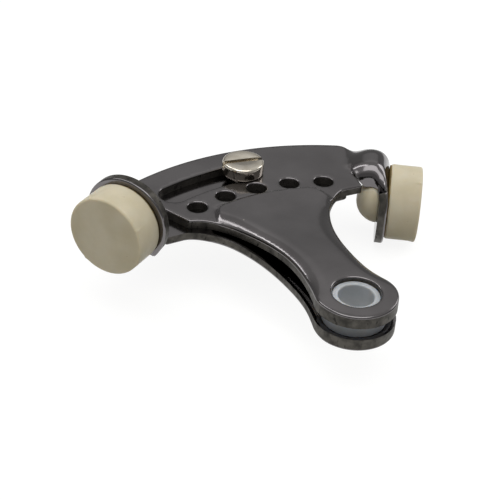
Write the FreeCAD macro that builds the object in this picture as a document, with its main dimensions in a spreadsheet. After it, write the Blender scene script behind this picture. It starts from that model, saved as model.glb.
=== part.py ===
"""Hinge pin door stop: two like stamped plates on a nylon bush, a clamp screw and two rubber bumpers.

The origin is on the hinge pin's axis, in the plane where the two plates lie on each other.
Z is up along the pin, Y runs from the pin to the middle of the slotted sector. Sizes are in mm.
"""
import FreeCAD, Part
import math
import os
import Sketcher

doc = FreeCAD.newDocument("hinge_pin_door_stop")
sheet = doc.addObject("Spreadsheet::Sheet", "sheet")

DIMENSIONS = (
    # Stamped plate: sheet, sector and its row of holes
    ("plate_thickness", 2.2),
    ("sector_radius", 68.8),
    ("sector_half_angle", 27),
    ("sector_inner", 42),
    ("flange_corner", 25.6),
    ("index_circle", 50.2),
    ("index_hole", 4.8),
    ("index_pitch", 10),
    ("slot_circle", 58.2),
    ("slot_width", 7.4),
    ("slot_travel", 20),
    ("slot_spare", 0.6),
    ("edge_bevel", 0.4),
    # Arm and ear, pressed up out of the sector's plane
    ("arm_lift", 2.5),
    ("rim_drop", 1.1),
    ("shoulder_width", 2.4),
    ("shoulder_drop", 1),
    ("ear_radius", 9.3),
    ("waist_half", 7.2),
    ("waist_radius", 42),
    ("flare_angle", 35),
    ("flare_round", 4.2),
    ("foot_circle", 47.2),
    ("foot_half_angle", 17),
    ("foot_slope", 1.6),
    ("rim_wall", 1.7),
    ("ear_hole_bevel", 0.8),
    # Neck and bumper flange
    ("set_angle", 3.5),
    ("flange_angle", 31.5),
    ("flange_stand", 6.6),
    ("disc_radius", 10.7),
    ("disc_reach", 56.1),
    ("disc_drop", 5.9),
    ("neck_reach", 59.3),
    ("neck_width", 7),
    ("neck_rise", 2.65),
    ("neck_start", 4),
    ("neck_slope", 3.6),
    ("neck_bend", 4.2),
    ("neck_root", 0.5),
    # Rubber bumper
    ("bumper_radius", 9.65),
    ("bumper_length", 8.3),
    ("bumper_ease", 0.6),
    ("stem_radius", 4),
    ("bulb_radius", 6.5),
    ("bulb_rim", 1),
    ("bulb_length", 7),
    ("dome_mid_angle", 54),
    ("dome_tip_angle", 24),
    # Nylon bush
    ("pin_bore", 8.05),
    ("bush_neck_radius", 5.4),
    ("bush_collar_radius", 7.2),
    ("bush_recess", 1),
    ("bush_lead", 0.4),
    # Clamp screw and nut
    ("head_radius", 5.25),
    ("head_height", 3.4),
    ("head_ease", 0.9),
    ("drive_width", 1.4),
    ("drive_depth", 1.5),
    ("drive_turn", 172.5),
    ("shank_radius", 3.175),
    ("shank_lead", 0.8),
    ("shank_proud", 1.5),
    ("nut_flats", 11.1),
    ("nut_height", 5.5),
    ("nut_bevel_angle", 30),
    # Clearances
    ("running", 0.06),
    ("axial", 0.05),
)
for row, (alias, value) in enumerate(DIMENSIONS, start=1):
    sheet.set(f"A{row}", alias)
    sheet.set(f"B{row}", str(value))
    sheet.setAlias(f"B{row}", alias)
doc.recompute()


def size(text):
    """Value of an expression in the sheet's names."""
    return float(sheet.evalExpression(text))


def origin_plane(body, role):
    """One of a body's own origin planes or axes."""
    return next(item for item in body.Origin.OriginFeatures if item.Role == role)


def new_sketch(body, name, role, turn=None, base=None):
    """A sketch on one of the body's planes, turned about Z and moved by sheet expressions."""
    sketch = body.newObject("Sketcher::SketchObject", name)
    sketch.AttachmentSupport = [(origin_plane(body, role), "")]
    sketch.MapMode = "FlatFace"
    if turn:
        sketch.AttachmentOffset = FreeCAD.Placement(
            FreeCAD.Vector(), FreeCAD.Rotation(FreeCAD.Vector(0, 1, 0), size(turn)))
        sketch.setExpression("AttachmentOffset.Rotation.Angle", turn)
    for axis, text in (base or {}).items():
        sketch.setExpression(f"AttachmentOffset.Base.{axis}", text)
    return sketch


def constrain(sketch, constraint, text):
    """Adds a dimension and ties it to the sheet."""
    index = sketch.addConstraint(constraint)
    sketch.setExpression(f"Constraints[{index}]", text)


def circle(sketch, x, y, radius):
    """A circle whose centre and radius are sheet expressions."""
    centre = FreeCAD.Vector(size(x), size(y), 0)
    index = sketch.addGeometry(Part.Circle(centre, FreeCAD.Vector(0, 0, 1), size(radius)))
    constrain(sketch, Sketcher.Constraint("DistanceX", -1, 1, index, 3, centre.x), x)
    constrain(sketch, Sketcher.Constraint("DistanceY", -1, 1, index, 3, centre.y), y)
    constrain(sketch, Sketcher.Constraint("Radius", index, size(radius)), radius)


def arc_between(start, end, radius, left):
    """The shorter arc from start to end, with its centre on the left or right of the way."""
    chord = end - start
    half = chord.Length / 2
    side = FreeCAD.Vector(-chord.y, chord.x, 0).normalize() * (1 if left else -1)
    centre = (start + end) * 0.5 + side * math.sqrt(max(radius ** 2 - half ** 2, 0))
    ring = Part.Circle(centre, FreeCAD.Vector(0, 0, 1), radius)
    first, last = (start, end) if left else (end, start)
    angles = [math.atan2(point.y - centre.y, point.x - centre.x) for point in (first, last)]
    return Part.ArcOfCircle(ring, *angles)


def outline(sketch, *steps):
    """A closed outline. Each step is (x, y) or (x, y, radius, "left" or "right") from the one before."""
    corners = [FreeCAD.Vector(size(step[0]), size(step[1]), 0) for step in steps]
    ends = []
    for number, step in enumerate(steps):
        start, end = corners[number - 1], corners[number]
        if len(step) == 2:
            index = sketch.addGeometry(Part.LineSegment(start, end))
            ends.append((index, 1, 2))
            continue
        left = step[3] == "left"
        index = sketch.addGeometry(arc_between(start, end, size(step[2]), left))
        ends.append((index, 1, 2) if left else (index, 2, 1))
        constrain(sketch, Sketcher.Constraint("Radius", index, size(step[2])), step[2])
    for number, step in enumerate(steps):
        index, _, last = ends[number]
        follower, first, _ = ends[(number + 1) % len(steps)]
        sketch.addConstraint(Sketcher.Constraint("Coincident", index, last, follower, first))
        constrain(sketch, Sketcher.Constraint("DistanceX", -1, 1, index, last, corners[number].x), step[0])
        constrain(sketch, Sketcher.Constraint("DistanceY", -1, 1, index, last, corners[number].y), step[1])


def pad(body, name, sketch, length, middle=False):
    """Raises a sketch by a sheet expression, from its plane or about it."""
    feature = body.newObject("PartDesign::Pad", name)
    feature.Profile = sketch
    feature.Midplane = middle
    feature.setExpression("Length", length)
    return feature


def pocket(body, name, sketch, through=True, depth=None, reverse=False):
    """Cuts a sketch right through both ways, or to a depth."""
    feature = body.newObject("PartDesign::Pocket", name)
    feature.Profile = sketch
    if through:
        feature.Type = "ThroughAll"
        feature.Midplane = True
    else:
        feature.setExpression("Length", depth)
        feature.Reversed = reverse
    return feature


def edges_where(feature, test):
    """Names of the edges of a feature's shape that pass a test."""
    return [f"Edge{number}" for number, edge in enumerate(feature.Shape.Edges, start=1) if test(edge)]


def lies_at(edge, height):
    """Whether an edge lies in the level plane at a height."""
    return all(abs(vertex.Z - height) < 1e-4 for vertex in edge.Vertexes)


def is_round(edge, radii):
    """Whether an edge is an arc of one of the given radii."""
    return edge.Curve.TypeId == "Part::GeomCircle" and any(abs(edge.Curve.Radius - r) < 1e-4 for r in radii)


def bevel(body, name, feature, width, test):
    """Breaks the edges of a feature that pass a test."""
    broken = body.newObject("PartDesign::Chamfer", name)
    broken.Base = (feature, edges_where(feature, test))
    broken.setExpression("Size", width)
    doc.recompute()
    return broken


def polar(radius, angle):
    """X and Y expressions of a point at an angle from +Y towards +X."""
    return f"({radius}) * sin({angle})", f"({radius}) * cos({angle})"


def arm_points(inset, foot_inset):
    """Corner expressions of the arm drawn in by an inset: ear join, flare end and foot end."""
    waist_x = "(sheet.waist_half + sheet.waist_radius)"
    reach = "(sheet.waist_radius + sheet.ear_radius)"
    waist_y = f"sqrt({reach}^2 - {waist_x}^2)"
    ear = f"(sheet.ear_radius - {inset})"
    waist = f"(sheet.waist_radius + {inset})"
    join = (f"{ear} * {waist_x} / {reach}", f"{ear} * {waist_y} / {reach}")
    flare = (f"({waist_x} - {waist} * cos(sheet.flare_angle))",
             f"({waist_y} + {waist} * sin(sheet.flare_angle))")
    foot_radius = f"(sheet.foot_circle - {foot_inset})"
    foot = polar(foot_radius, f"sheet.foot_half_angle * {foot_radius} / sheet.foot_circle")
    return ear, waist, join, flare, foot_radius, foot


def arm_outline(sketch, inset="0", foot_inset="0"):
    """Ear, waist and flare up to the foot of the pressed step, drawn in by an inset."""
    ear, waist, join, flare, foot_radius, foot = arm_points(inset, foot_inset)
    outline(
        sketch,
        ("0", f"-{ear}", ear, "left"),
        (*join, ear, "left"),
        (*flare, waist, "right"),
        foot,
        (f"-{foot[0]}", foot[1], foot_radius, "left"),
        (f"-{flare[0]}", flare[1]),
        (f"-{join[0]}", join[1], waist, "right"),
    )


def flange_point(along, stand):
    """X and Y expressions of a point at a distance along the flange's radius and a stand off it."""
    turn = "sheet.flange_angle"
    return (f"({along}) * sin({turn}) + ({stand}) * cos({turn})",
            f"({along}) * cos({turn}) - ({stand}) * sin({turn})")


def eased(radius, height, ease):
    """The two corners of a rim whose edge is eased by a flat."""
    return (radius, f"{height} - {ease}"), (f"{radius} - {ease}", height)


def flange_sketch(body, name, role, stand):
    """A sketch square to the bumper flange: across it (u, Z) or along its section (n, Z)."""
    turn = "-sheet.flange_angle"
    if role == "YZ_Plane":
        base = {"x": f"-({stand}) * sin(sheet.flange_angle)", "z": f"({stand}) * cos(sheet.flange_angle)"}
    else:
        base = {"x": f"({stand}) * sin(sheet.flange_angle)", "z": f"-({stand}) * cos(sheet.flange_angle)"}
    return new_sketch(body, name, role, turn, base)


def build_plate(label):
    """One stamped plate: slotted sector, raised arm with its ear, and the necked bumper flange."""
    body = doc.addObject("PartDesign::Body", label)
    top = "sheet.plate_thickness"
    rim_low = "(sheet.arm_lift - sheet.rim_drop)"
    crown = f"(sheet.arm_lift + {top})"
    flare = arm_points("0", "0")[3]

    sector = new_sketch(body, "sector_outline", "XY_Plane")
    free = polar("sheet.sector_radius", "sheet.sector_half_angle")
    inner_x = "sheet.sector_inner * tan(sheet.sector_half_angle)"
    flare_end = f"({flare[0]} + sheet.flare_round)"
    neck_half, root = "sheet.neck_width / 2", "sheet.neck_root - sheet.neck_start"
    outline(
        sector,
        (f"-{inner_x}", "sheet.sector_inner"),
        (f"-{flare_end}", "sheet.sector_inner"),
        (f"-{flare[0]}", flare[1], "sheet.flare_round", "right"),
        flare,
        (flare_end, "sheet.sector_inner", "sheet.flare_round", "right"),
        ("sheet.flange_corner", "sheet.sector_inner"),
        flange_point(f"sheet.neck_reach - {neck_half}", root),
        flange_point(f"sheet.neck_reach + {neck_half}", root),
        free,
        (f"-{free[0]}", free[1], "sheet.sector_radius", "left"),
    )
    pad(body, "sector", sector, top)

    rim = new_sketch(body, "rim_outline", "XY_Plane", base={"z": rim_low})
    arm_outline(rim)
    pad(body, "rim", rim, f"{crown} - sheet.shoulder_drop - {rim_low}")

    shoulder_low = new_sketch(body, "shoulder_low", "XY_Plane", base={"z": f"{crown} - sheet.shoulder_drop"})
    arm_outline(shoulder_low)
    shoulder_high = new_sketch(body, "shoulder_high", "XY_Plane", base={"z": crown})
    arm_outline(shoulder_high, "sheet.shoulder_width", "sheet.foot_slope")
    shoulder = body.newObject("PartDesign::AdditiveLoft", "shoulder")
    shoulder.Profile = shoulder_low
    shoulder.Sections = [shoulder_high]
    shoulder.Ruled = True

    hollow = new_sketch(body, "hollow_outline", "XY_Plane")
    arm_outline(hollow, "sheet.rim_wall", "sheet.rim_wall")
    pocket(body, "hollow", hollow, through=False, depth="sheet.arm_lift", reverse=True)

    lead = new_sketch(body, "rim_lead_section", "YZ_Plane")
    outline(lead, ("sheet.sector_inner", "0"), (flare[1], rim_low), (flare[1], "0"))
    pocket(body, "rim_lead", lead)

    ear = new_sketch(body, "ear_hole_outline", "XY_Plane")
    ear_hole = "sheet.bush_neck_radius + sheet.running"
    circle(ear, "0", "0", ear_hole)
    pocket(body, "ear_hole", ear)

    slot = new_sketch(body, "slot_outline", "XY_Plane")
    spare = "sheet.slot_spare / sheet.slot_circle * 180 / pi"
    outer = "(sheet.slot_circle + sheet.slot_width / 2)"
    inner = "(sheet.slot_circle - sheet.slot_width / 2)"
    near, far = f"({spare})", f"(-sheet.slot_travel - {spare})"
    cap = "(sheet.slot_width / 2)"
    near_mid, far_mid = polar("sheet.slot_circle", near), polar("sheet.slot_circle", far)
    outline(
        slot,
        (*polar(outer, near), cap, "left"),
        (*polar(outer, far), outer, "left"),
        (f"{far_mid[0]} - {cap} * cos({far})", f"{far_mid[1]} + {cap} * sin({far})", cap, "left"),
        (*polar(inner, far), cap, "left"),
        (*polar(inner, near), inner, "right"),
        (f"{near_mid[0]} + {cap} * cos({near})", f"{near_mid[1]} - {cap} * sin({near})", cap, "left"),
    )
    pocket(body, "slot", slot)

    index = new_sketch(body, "index_outline", "XY_Plane")
    circle(index, *polar("sheet.index_circle", "2 * sheet.index_pitch"), "sheet.index_hole / 2")
    index_hole = pocket(body, "index_hole", index)
    row = body.newObject("PartDesign::PolarPattern", "index_row")
    row.Originals = [index_hole]
    row.Axis = (origin_plane(body, "Z_Axis"), [""])
    row.Occurrences = 5
    row.setExpression("Angle", "4 * sheet.index_pitch")
    body.Tip = row
    doc.recompute()

    top_rims = [size(text) for text in (cap, outer, inner, "sheet.sector_radius")]
    rims = bevel(body, "rims", row, "sheet.edge_bevel",
                 lambda edge: lies_at(edge, size(top)) and is_round(edge, top_rims))
    bevel(body, "ear_rim", rims, "sheet.ear_hole_bevel",
          lambda edge: lies_at(edge, size(crown)) and is_round(edge, [size(ear_hole)]))

    roof = f"({top} + sheet.neck_rise)"
    bend_start = "(sheet.flange_stand - sheet.neck_bend)"
    bend_low = f"({roof} - sheet.neck_bend)"
    slip = f"{top} * tan(atan(sheet.neck_rise / sheet.neck_slope) / 2)"
    section = flange_sketch(body, "neck_section", "XZ_Plane", "sheet.neck_reach")
    outline(
        section,
        ("-sheet.neck_start - sheet.neck_slope", top),
        ("-sheet.neck_start - sheet.neck_slope", "0"),
        (f"-sheet.neck_start + {slip}", "0"),
        (f"sheet.neck_slope - sheet.neck_start + {slip}", "sheet.neck_rise"),
        (bend_start, "sheet.neck_rise"),
        (f"sheet.flange_stand - {top}", bend_low, f"sheet.neck_bend - {top}", "right"),
        (f"sheet.flange_stand - {top}", "-sheet.disc_drop"),
        ("sheet.flange_stand", "-sheet.disc_drop"),
        ("sheet.flange_stand", bend_low),
        (bend_start, roof, "sheet.neck_bend", "left"),
        ("sheet.neck_slope - sheet.neck_start", roof),
        ("-sheet.neck_start", top),
    )
    pad(body, "neck", section, "sheet.neck_width", middle=True)

    disc = flange_sketch(body, "disc_outline", "YZ_Plane", f"sheet.flange_stand - {top}")
    circle(disc, "sheet.disc_reach", "-sheet.disc_drop", "sheet.disc_radius")
    pad(body, "disc", disc, top)

    corner = flange_sketch(body, "bend_corner", "XZ_Plane", "sheet.disc_reach")
    outline(
        corner,
        (bend_start, roof),
        ("sheet.flange_stand", bend_low, "sheet.neck_bend", "right"),
        (f"sheet.flange_stand + {top}", bend_low),
        (f"sheet.flange_stand + {top}", f"{roof} + {top}"),
        (bend_start, f"{roof} + {top}"),
    )
    trim = pocket(body, "bend_trim", corner, through=False, depth="4 * sheet.disc_radius")
    trim.Midplane = True

    stem = flange_sketch(body, "stem_outline", "YZ_Plane", f"sheet.flange_stand - {top}")
    circle(stem, "sheet.disc_reach", "-sheet.disc_drop", "sheet.stem_radius + sheet.running")
    stem_hole = pocket(body, "stem_hole", stem, through=False, depth=top, reverse=True)
    doc.recompute()
    return body


def revolved(label, role, axis, *steps):
    """A body turned from one outline about one of its own axes."""
    body = doc.addObject("PartDesign::Body", label)
    profile = new_sketch(body, "profile", role)
    outline(profile, *steps)
    turned = body.newObject("PartDesign::Revolution", "turned")
    turned.Profile = profile
    turned.ReferenceAxis = (origin_plane(body, axis), [""])
    turned.Angle = 360
    return body


def build_bumper(label, side):
    """A one-piece rubber bumper: head, stem through the disc, and the domed bulb behind it."""
    inner = "-sheet.plate_thickness"
    bulb_end = f"({inner} - sheet.bulb_length)"
    front = eased("sheet.bumper_radius", "sheet.bumper_length", "sheet.bumper_ease")
    dome_depth = "(sheet.bulb_length - sheet.bulb_rim)"
    dome = f"({dome_depth}^2 + sheet.bulb_radius^2) / (2 * {dome_depth})"
    body = revolved(
        label, "XY_Plane", "X_Axis",
        ("sheet.bumper_length", "0"),
        *[(along, radius) for radius, along in reversed(front)],
        ("0", "sheet.bumper_radius"),
        ("0", "sheet.stem_radius"),
        (inner, "sheet.stem_radius"),
        (inner, "sheet.bulb_radius"),
        (f"{inner} - sheet.bulb_rim", "sheet.bulb_radius"),
        (f"{bulb_end} + ({dome}) * (1 - cos(sheet.dome_mid_angle))", f"({dome}) * sin(sheet.dome_mid_angle)"),
        (bulb_end, f"({dome}) * sin(sheet.dome_tip_angle)"),
        (bulb_end, "0"),
    )
    swing = "0" if side > 0 else "sheet.set_angle"
    turn = "-sheet.flange_angle" if side > 0 else f"180 + sheet.flange_angle + {swing}"
    body.Placement = FreeCAD.Placement(FreeCAD.Vector(), FreeCAD.Rotation(FreeCAD.Vector(0, 0, 1), size(turn)))
    across = "sheet.flange_stand * cos(sheet.flange_angle) + sheet.disc_reach * sin(sheet.flange_angle)"
    along = "sheet.disc_reach * cos(sheet.flange_angle) - sheet.flange_stand * sin(sheet.flange_angle)"
    body.setExpression("Placement.Rotation.Angle", turn)
    body.setExpression("Placement.Base.x", f"{side} * ({across}) * cos({swing}) - ({along}) * sin({swing})")
    body.setExpression("Placement.Base.y", f"{side} * ({across}) * sin({swing}) + ({along}) * cos({swing})")
    body.setExpression("Placement.Base.z", f"-{side} * sheet.disc_drop")
    return body


def build_bush():
    """The nylon spool: a collar between the ears, a neck in each ear and the pin's bore."""
    bore = "sheet.pin_bore / 2"
    collar = "(sheet.arm_lift - sheet.axial)"
    end = "(sheet.arm_lift + sheet.plate_thickness - sheet.bush_recess)"
    neck, lead = "sheet.bush_neck_radius", "sheet.bush_lead"
    upper = [
        ("sheet.bush_collar_radius", collar),
        (neck, collar),
        (neck, end),
        (f"{bore} + {lead}", end),
        (bore, f"{end} - {lead}"),
    ]
    lower = [(radius, f"-({height})") for radius, height in reversed(upper)]
    return revolved("hinge_bush", "XZ_Plane", "Z_Axis", *upper, *lower)


def build_screw():
    """The slotted clamp screw, its head on the upper plate."""
    seat = "(sheet.plate_thickness + sheet.axial)"
    crest = f"({seat} + sheet.head_height)"
    tip = f"({seat} + sheet.nut_height + sheet.shank_proud)"
    body = revolved(
        "clamp_screw", "XZ_Plane", "Z_Axis",
        ("0", crest),
        ("0", f"-{tip}"),
        ("sheet.shank_radius - sheet.shank_lead", f"-{tip}"),
        ("sheet.shank_radius", f"sheet.shank_lead - {tip}"),
        ("sheet.shank_radius", seat),
        ("sheet.head_radius", seat),
        *eased("sheet.head_radius", crest, "sheet.head_ease"),
    )
    drive = new_sketch(body, "drive_outline", "XY_Plane", base={"z": crest})
    reach, half = "2 * sheet.head_radius", "sheet.drive_width / 2"
    outline(drive, (reach, half), (f"-{reach}", half), (f"-{reach}", f"-{half}"), (reach, f"-{half}"))
    pocket(body, "drive_slot", drive, through=False, depth="sheet.drive_depth")
    body.setExpression("Placement.Rotation.Angle", "sheet.drive_turn")
    body.setExpression("Placement.Base.y", "sheet.slot_circle")
    return body


def build_nut():
    """The hexagon nut below the lower plate."""
    body = doc.addObject("PartDesign::Body", "clamp_nut")
    seat = "(sheet.plate_thickness + sheet.axial)"
    hexagon = new_sketch(body, "hexagon", "XY_Plane", base={"z": f"-({seat} + sheet.nut_height)"})
    corner = "sheet.nut_flats / 2 / cos(30)"
    outline(hexagon, *[polar(corner, f"30 - 60 * {number}") for number in range(6)])
    pad(body, "blank", hexagon, "sheet.nut_height")
    far = "(sheet.nut_flats / cos(30))"
    slope = f"({far} - sheet.nut_flats / 2) * tan(sheet.nut_bevel_angle)"
    end = f"-({seat} + sheet.nut_height)"
    bevel_profile = new_sketch(body, "bevel_profile", "XZ_Plane")
    outline(bevel_profile, ("sheet.nut_flats / 2", end), (far, end), (far, f"{end} + {slope}"))
    corners = body.newObject("PartDesign::Groove", "corners")
    corners.Profile = bevel_profile
    corners.ReferenceAxis = (origin_plane(body, "Z_Axis"), [""])
    corners.Angle = 360
    thread = new_sketch(body, "thread_outline", "XY_Plane")
    circle(thread, "0", "0", "sheet.shank_radius + sheet.running")
    pocket(body, "thread", thread)
    body.setExpression("Placement.Base.y", "sheet.slot_circle")
    return body


upper_plate = build_plate("upper_plate")
lower_plate = build_plate("lower_plate")
lower_plate.Placement = FreeCAD.Placement(
    FreeCAD.Vector(), FreeCAD.Rotation(FreeCAD.Vector(0, 1, 0), 180))
lower_plate.setExpression("Placement.Rotation.Axis.x", "-sin(sheet.set_angle / 2)")
lower_plate.setExpression("Placement.Rotation.Axis.y", "cos(sheet.set_angle / 2)")
pieces = [
    upper_plate,
    lower_plate,
    build_bush(),
    build_screw(),
    build_nut(),
    build_bumper("right_bumper", 1),
    build_bumper("left_bumper", -1),
]
doc.recompute()

for item in doc.Objects:
    if "Invalid" in item.State or "Error" in item.State:
        raise RuntimeError(f"{item.Name}: {item.State}")
for piece in pieces:
    if piece.Shape.isNull() or not piece.Shape.isValid() or len(piece.Shape.Solids) != 1:
        raise RuntimeError(f"{piece.Label}: not one valid solid")

os.makedirs("parts", exist_ok=True)
for piece in pieces:
    piece.Shape.exportStep(f"parts/{piece.Label}.step")
    box = piece.Shape.BoundBox
    print(f"{piece.Label}: {piece.Shape.Volume:.1f} mm3, {box.XLength:.1f} x {box.YLength:.1f} x {box.ZLength:.1f}")
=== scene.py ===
"""Looks of the hinge pin door stop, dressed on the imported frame. Sizes are in mm until a mesh is made."""
import logging
import math
from dataclasses import dataclass, field, replace
from enum import Enum
from typing import Any, Iterable, Sequence

import bpy
import numpy as np
from mathutils import Matrix, Vector
from mathutils.geometry import delaunay_2d_cdt


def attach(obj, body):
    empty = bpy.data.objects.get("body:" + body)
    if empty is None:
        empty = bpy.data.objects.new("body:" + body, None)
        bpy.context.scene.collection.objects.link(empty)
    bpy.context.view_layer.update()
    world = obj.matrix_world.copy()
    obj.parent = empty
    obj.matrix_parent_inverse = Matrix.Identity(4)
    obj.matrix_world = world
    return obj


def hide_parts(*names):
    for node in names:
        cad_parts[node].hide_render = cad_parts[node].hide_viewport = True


LOG = logging.getLogger("door_stop")
MM = 0.001
# Gap between the lowest piece and the floor, in mm.
FLOOR_GAP = 0.2
# Rows of points inside a rounded rim, as shares of its rounding.
RIM_SHARES = (0.08, 0.25, 0.55, 1.0)
# Row spacing of a triangular grid, as a share of its pitch.
ROW_SHARE = 0.866
# Points of the blank nearer than this are one, and a profile point this near its axis closes an end, in mm.
WELD = 1e-5
# Points measured at a time, to spare memory.
BATCH = 2000

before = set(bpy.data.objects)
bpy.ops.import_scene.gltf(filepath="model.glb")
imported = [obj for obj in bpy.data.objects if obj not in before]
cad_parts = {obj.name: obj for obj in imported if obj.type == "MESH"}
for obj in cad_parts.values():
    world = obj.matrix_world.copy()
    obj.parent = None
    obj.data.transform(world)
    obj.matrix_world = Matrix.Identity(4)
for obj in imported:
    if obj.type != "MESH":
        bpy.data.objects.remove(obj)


class Side(Enum):
    """The side of the stop that a bumper and its plate's flange are on."""

    RIGHT = 1
    LEFT = -1


def linear(code: str) -> tuple[float, float, float, float]:
    """Turns an sRGB hex value into a linear colour.

    Args:
        code: Six hex digits with a leading hash.

    Returns:
        Red, green, blue and alpha, in linear light.
    """
    parts = [int(code[i:i + 2], 16) / 255 for i in (1, 3, 5)]
    red, green, blue = [c / 12.92 if c <= 0.04045 else ((c + 0.055) / 1.055) ** 2.4 for c in parts]
    return red, green, blue, 1.0


def add_node(
    tree: bpy.types.NodeTree,
    kind: str,
    links: dict[str | int, Any] | None = None,
    inputs: dict[str | int, Any] | None = None,
    **settings: Any,
) -> bpy.types.Node:
    """Adds one node with its settings, input values and links.

    Args:
        tree: The node tree to add to.
        kind: The node's type name.
        links: Input socket to the output socket that feeds it.
        inputs: Input socket to its constant value.
        **settings: Properties of the node itself.

    Returns:
        The new node.
    """
    node = tree.nodes.new(kind)
    for name, value in settings.items():
        setattr(node, name, value)
    for key, value in (inputs or {}).items():
        node.inputs[key].default_value = value
    for key, source in (links or {}).items():
        tree.links.new(source, node.inputs[key])
    return node


@dataclass(frozen=True)
class Finish:
    """A procedural surface finish.

    Args:
        name: The real material and how its surface was made.
        colour: Main colour, sRGB hex.
        variation: Second colour that drifts across the surface.
        drift_mm: Size of that drift.
        roughness: Typical roughness.
        roughness_span: How far the roughness wanders either way.
        grain_mm: Size of the fine relief.
        relief_mm: Height of the fine relief.
        metallic: 1 for metal.
        coat: Clear gloss over the surface.
        subsurface_mm: How far light spreads inside, 0 for none.
        specks: Colour of small marks, or an empty string.
        speck_mm: Spacing of those marks.
        speck_level: Noise level above which a mark shows.
        speck_edge: Noise span over which a mark fades in.
        stretch: Stretch of the grain along Z, above 1 for striations up and down.
    """

    name: str
    colour: str
    variation: str
    drift_mm: float
    roughness: float
    roughness_span: float
    grain_mm: float
    relief_mm: float
    metallic: float = 0.0
    coat: float = 0.0
    subsurface_mm: float = 0.0
    specks: str = ""
    speck_mm: float = 1.0
    speck_level: float = 0.7
    speck_edge: float = 0.05
    stretch: float = 1.0

    def build(self) -> bpy.types.Material:
        """Makes the material.

        Returns:
            The node-based material.
        """
        material = bpy.data.materials.new(self.name)
        material.use_nodes = True
        tree = material.node_tree
        tree.nodes.clear()
        place = add_node(tree, "ShaderNodeTexCoord").outputs["Object"]
        grain_place = add_node(
            tree, "ShaderNodeMapping", {"Vector": place}, {"Scale": (1.0, 1.0, 1.0 / self.stretch)}
        ).outputs["Vector"]
        drift, grain, marks = [
            add_node(
                tree, "ShaderNodeTexNoise", {"Vector": spot},
                {"Scale": 1 / (size * MM), "Detail": detail, "Roughness": rough},
            ).outputs["Fac"]
            for spot, size, detail, rough in (
                (place, self.drift_mm, 3.0, 0.55),
                (grain_place, self.grain_mm, 4.0, 0.6),
                (grain_place, self.speck_mm, 2.0, 0.5),
            )
        ]
        share = add_node(
            tree, "ShaderNodeMapRange", {"Value": drift}, {"From Min": 0.34, "From Max": 0.68}
        ).outputs["Result"]
        colour = add_node(
            tree, "ShaderNodeMix", {0: share},
            {6: linear(self.colour), 7: linear(self.variation)}, data_type="RGBA",
        ).outputs[2]
        if self.specks:
            cover = add_node(
                tree, "ShaderNodeMapRange", {"Value": marks},
                {"From Min": self.speck_level, "From Max": self.speck_level + self.speck_edge},
            ).outputs["Result"]
            colour = add_node(
                tree, "ShaderNodeMix", {0: cover, 6: colour}, {7: linear(self.specks)}, data_type="RGBA"
            ).outputs[2]
        rough = add_node(
            tree, "ShaderNodeMapRange", {"Value": drift},
            {"From Min": 0.3, "From Max": 0.7,
             "To Min": self.roughness - self.roughness_span, "To Max": self.roughness + self.roughness_span},
        ).outputs["Result"]
        bump = add_node(
            tree, "ShaderNodeBump", {"Height": grain}, {"Strength": 1.0, "Distance": self.relief_mm * MM}
        ).outputs["Normal"]
        shader = add_node(
            tree, "ShaderNodeBsdfPrincipled",
            {"Base Color": colour, "Roughness": rough, "Normal": bump},
            {"Metallic": self.metallic, "Coat Weight": self.coat, "Coat Roughness": 0.2},
        )
        if self.subsurface_mm:
            shader.inputs["Subsurface Weight"].default_value = 1.0
            shader.inputs["Subsurface Scale"].default_value = self.subsurface_mm * MM
            shader.inputs["Subsurface Radius"].default_value = (1.0, 0.85, 0.7)
        add_node(tree, "ShaderNodeOutputMaterial", {"Surface": shader.outputs["BSDF"]})
        return material


# Plated sheet steel, polished before plating: a dark warm mirror with faint polishing haze and a
# little dust. The haze is drawn coarser than it is, so that it shows.
BLACK_NICKEL = Finish(
    name="black_nickel_polished", colour="#757273", variation="#696667", drift_mm=14.0,
    roughness=0.14, roughness_span=0.03, grain_mm=0.9, relief_mm=0.0015, metallic=1.0,
    specks="#A8A49C", speck_mm=1.2, speck_level=0.755,
)
# The sheared edge of the same sheet: torn metal under thin plating, grey and dull with dark pits. Part of
# its darkness is painted shade, for the shade that falls on the edge walls.
SHEARED_EDGE = Finish(
    name="black_nickel_sheared_edge", colour="#57544F", variation="#3A3835", drift_mm=2.0,
    roughness=0.52, roughness_span=0.08, grain_mm=0.35, relief_mm=0.03, metallic=0.85,
    specks="#2A2825", speck_mm=0.9, speck_level=0.64, stretch=2.5,
)
# Bright nickel on a turned screw head: warm silver with a soft haze, drawn coarser than it is.
BRIGHT_NICKEL = Finish(
    name="bright_nickel_turned", colour="#DAD3C7", variation="#C8C0B2", drift_mm=3.0,
    roughness=0.17, roughness_span=0.05, grain_mm=0.4, relief_mm=0.003, metallic=1.0,
    specks="#7A6A4C", speck_mm=1.6, speck_level=0.72,
)
# Moulded cream rubber: matte, a little translucent, with faint grime.
CREAM_RUBBER = Finish(
    name="cream_rubber_moulded", colour="#D6CDB6", variation="#CBC1A6", drift_mm=7.0,
    roughness=0.58, roughness_span=0.08, grain_mm=0.5, relief_mm=0.008, subsurface_mm=1.2,
    specks="#9A8158", speck_mm=1.6, speck_level=0.725,
)
# The same rubber where it meets the disc, darker and amber: painted shade and painted reflection at that
# joint.
RIM_SHADE_RUBBER = Finish(
    name="cream_rubber_painted_shade_rim", colour="#8A7440", variation="#5C4C28", drift_mm=1.5,
    roughness=0.5, roughness_span=0.08, grain_mm=0.5, relief_mm=0.008,
)
# Natural nylon, injection moulded: cool white, waxy and slightly see-through.
NATURAL_NYLON = Finish(
    name="natural_nylon_moulded", colour="#BDC0C4", variation="#AEB2B5", drift_mm=5.0,
    roughness=0.38, roughness_span=0.05, grain_mm=0.6, relief_mm=0.004, subsurface_mm=1.6, coat=0.1,
)


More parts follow.
